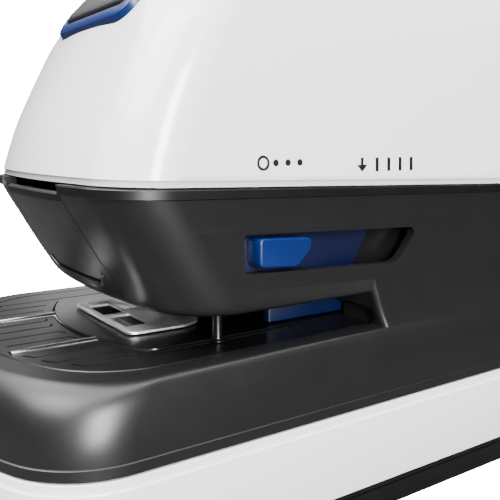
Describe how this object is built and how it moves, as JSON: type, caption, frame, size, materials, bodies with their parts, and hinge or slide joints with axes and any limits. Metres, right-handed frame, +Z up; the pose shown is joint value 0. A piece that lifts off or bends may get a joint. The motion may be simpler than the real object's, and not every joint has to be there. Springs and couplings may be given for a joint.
{
  "type": "electric desk stapler",
  "caption": "Desk electric stapler with a C-shaped body, paper throat, mode slider, adjustable paper stop, opening front door and top push button.",
  "frame": {"origin": "on the table under the middle of the machine", "axes": "+Z up, the nose and paper throat point to -Y, the side with the mode slider faces +X"},
  "size_m": [0.1024, 0.2864, 0.148],
  "materials": {
    "white_cover": "glossy white moulded plastic",
    "charcoal_shell": "satin charcoal moulded plastic",
    "black_gloss": "glossy black moulded plastic",
    "black_matte": "matt black moulded plastic",
    "blue_plastic": "royal blue moulded plastic",
    "bright_steel": "bright rolled steel",
    "zinc_steel": "zinc plated pressed steel",
    "nylon": "natural nylon",
    "board": "green circuit board",
    "rubber_foot": "soft black rubber"
  },
  "bodies": {
    "chassis": {"bottom_plate": "black_matte", "foot_1": "rubber_foot", "foot_2": "rubber_foot", "foot_3": "rubber_foot", "foot_4": "rubber_foot", "base_screw_1": "zinc_steel", "base_screw_2": "zinc_steel", "base_screw_3": "zinc_steel", "base_screw_4": "zinc_steel", "base_skirt": "white_cover", "body_shell_left": "charcoal_shell", "body_shell_right": "charcoal_shell", "deck_plate": "charcoal_shell", "glide_strip_left": "bright_steel", "glide_strip_right": "bright_steel", "anvil_surround": "black_gloss", "anvil_plate": "bright_steel", "guide_post": "black_gloss", "clinch_block": "zinc_steel", "clinch_pin_left": "bright_steel", "clinch_pin_right": "bright_steel", "top_cover": "white_cover", "button_bezel": "blue_plastic", "button_seat": "zinc_steel", "button_spring": "bright_steel", "button_switch": "black_matte", "door_pin": "bright_steel", "hinge_bracket": "zinc_steel", "magazine": "zinc_steel", "staple_strip": "bright_steel", "pusher_spring": "bright_steel", "motor": "zinc_steel", "frame_left": "zinc_steel", "frame_right": "zinc_steel", "gear_shaft": "bright_steel", "cross_shaft_front": "bright_steel", "cross_shaft_rear": "bright_steel", "cross_shaft_low": "bright_steel", "mode_switch": "black_matte", "stop_rail": "zinc_steel", "circuit_board": "board", "transformer": "zinc_steel", "power_inlet": "black_matte"},
    "front_door": {"front_door": "charcoal_shell"},
    "manual_button": {"manual_button": "black_gloss"},
    "mode_slider": {"mode_slider": "blue_plastic"},
    "paper_stop": {"paper_stop": "blue_plastic"},
    "drive_gear": {"drive_gear": "nylon"},
    "motor_pinion": {"motor_pinion": "zinc_steel"},
    "driver": {"driver": "bright_steel"},
    "pusher": {"pusher": "black_matte"},
    "clincher_left": {"clincher_left": "bright_steel"},
    "clincher_right": {"clincher_right": "bright_steel"}
  },
  "joints": [
    {"name": "front_door_hinge", "type": "hinge", "parent": "chassis", "child": "front_door", "pos_m": [0, -0.1126, 0.079], "axis": [-1, 0, 0], "range_deg": [0, 45]},
    {"name": "manual_button_press", "type": "slide", "parent": "chassis", "child": "manual_button", "axis": [0, 0.6626, -0.749], "range_m": [0, 0.0025], "stiffness_N_per_m": 800, "deforming": ["button_spring"]},
    {"name": "mode_slide", "type": "slide", "parent": "chassis", "child": "mode_slider", "axis": [0, 0.9994, -0.0345], "range_m": [0, 0.0315]},
    {"name": "paper_stop_slide", "type": "slide", "parent": "chassis", "child": "paper_stop", "axis": [0, 1, 0], "range_m": [0, 0.02]},
    {"name": "drive_gear_turn", "type": "hinge", "parent": "chassis", "child": "drive_gear", "pos_m": [0, -0.07, 0.097], "axis": [1, 0, 0], "range_deg": [0, 90]},
    {"name": "motor_pinion_turn", "type": "hinge", "parent": "chassis", "child": "motor_pinion", "pos_m": [0, -0.047, 0.0887], "axis": [1, 0, 0], "range_deg": [-270, 0]},
    {"name": "driver_stroke", "type": "slide", "parent": "chassis", "child": "driver", "axis": [0, 0, -1], "range_m": [0, 0.0198], "stiffness_N_per_m": 25, "springref_m": -0.012},
    {"name": "pusher_slide", "type": "slide", "parent": "chassis", "child": "pusher", "axis": [0, 1, 0], "range_m": [0, 0.02], "stiffness_N_per_m": 20, "springref_m": -0.02, "deforming": ["pusher_spring"]},
    {"name": "clincher_left_turn", "type": "hinge", "parent": "chassis", "child": "clincher_left", "pos_m": [-0.0105, -0.0962, 0.042], "axis": [0, -1, 0], "range_deg": [0, 22]},
    {"name": "clincher_right_turn", "type": "hinge", "parent": "chassis", "child": "clincher_right", "pos_m": [0.0105, -0.0962, 0.042], "axis": [0, -1, 0], "range_deg": [-22, 0]}
  ],
  "couplings": [
    {"joint": "motor_pinion_turn", "follows": "drive_gear_turn", "ratio": -3},
    {"joint": "driver_stroke", "follows": "drive_gear_turn", "m_per_rad": 0.012605},
    {"joint": "clincher_right_turn", "follows": "clincher_left_turn", "ratio": -1}
  ]
}
